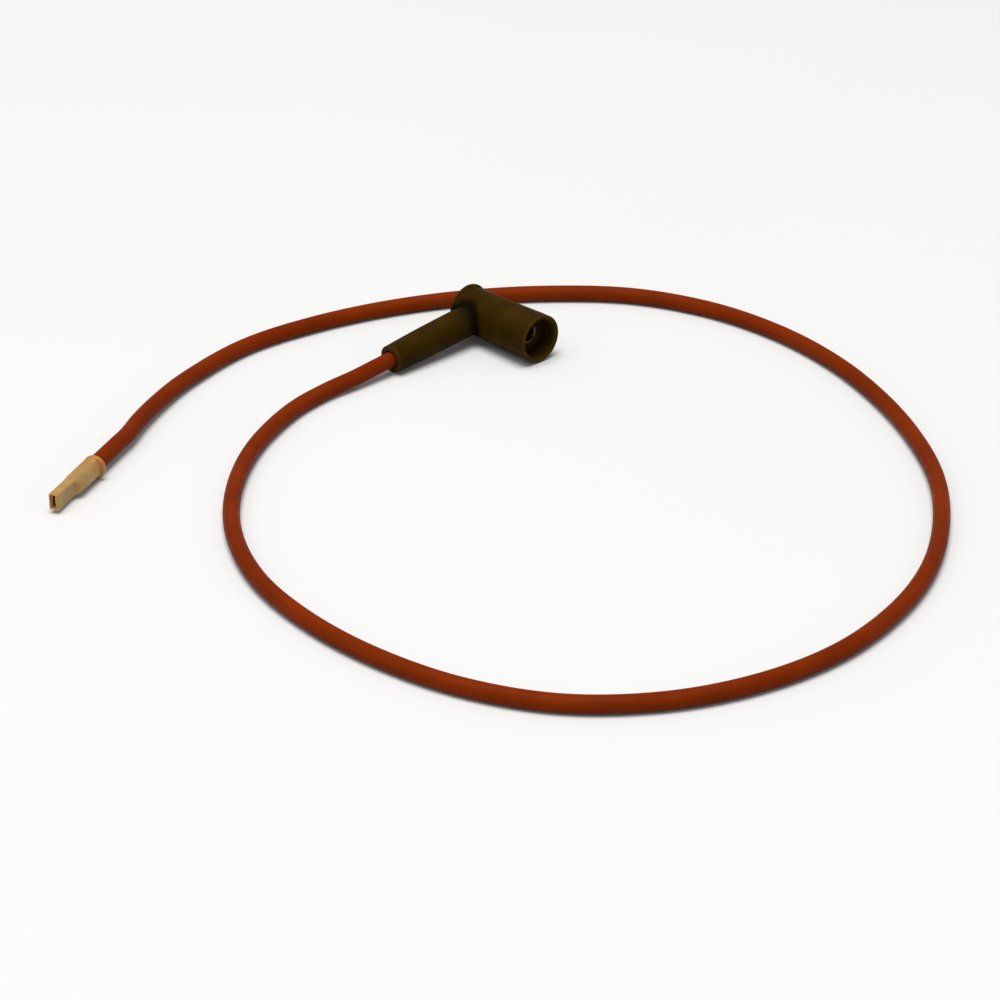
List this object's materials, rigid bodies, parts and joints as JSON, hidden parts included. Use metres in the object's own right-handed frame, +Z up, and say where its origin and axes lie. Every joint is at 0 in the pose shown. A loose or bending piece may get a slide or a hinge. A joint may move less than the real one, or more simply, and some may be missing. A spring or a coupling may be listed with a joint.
{
  "type": "flame sense lead",
  "caption": "Boiler flame-sense lead: round silicone lead lying in a loose loop, with a right-angle rubber snap boot at an end and a covered push-on receptacle at the other.",
  "frame": {"origin": "under the middle of the boot, on the surface that the lead lies on", "axes": "+X the way the boot's mouth faces, -Y the way the cable sleeve leaves the boot, +Z up from the surface"},
  "size_m": [0.3621, 0.3367, 0.0226],
  "materials": {
    "boot_rubber": "moulded, satin",
    "jacket_silicone": "extruded, satin",
    "inner_silicone": "extruded, satin",
    "glass_braid": "braided",
    "tinned_copper": "drawn, tinned",
    "plated_brass": "turned and stamped, plated",
    "spring_steel": "drawn wire",
    "cover_nylon": "moulded, translucent"
  },
  "bodies": {
    "lead": {"elbow_boot": "boot_rubber", "snap_socket": "plated_brass", "retaining_spring": "spring_steel", "boot_lead_jacket": "jacket_silicone", "boot_lead_braid": "glass_braid", "boot_lead_insulation": "inner_silicone", "boot_strand_1": "tinned_copper", "boot_strand_2": "tinned_copper", "boot_strand_3": "tinned_copper", "boot_strand_4": "tinned_copper", "boot_strand_5": "tinned_copper", "boot_strand_6": "tinned_copper", "boot_strand_7": "tinned_copper", "free_lead": "jacket_silicone", "tail_lead_jacket": "jacket_silicone", "tail_lead_braid": "glass_braid", "tail_lead_insulation": "inner_silicone", "tail_strand_1": "tinned_copper", "tail_strand_2": "tinned_copper", "tail_strand_3": "tinned_copper", "tail_strand_4": "tinned_copper", "tail_strand_5": "tinned_copper", "tail_strand_6": "tinned_copper", "tail_strand_7": "tinned_copper", "receptacle": "plated_brass"},
    "cover": {"terminal_cover": "cover_nylon"}
  },
  "joints": [
    {"name": "cover_slide", "type": "slide", "parent": "lead", "child": "cover", "axis": [-0.4274, 0.9041, 0], "range_m": [0, 0.008]}
  ]
}
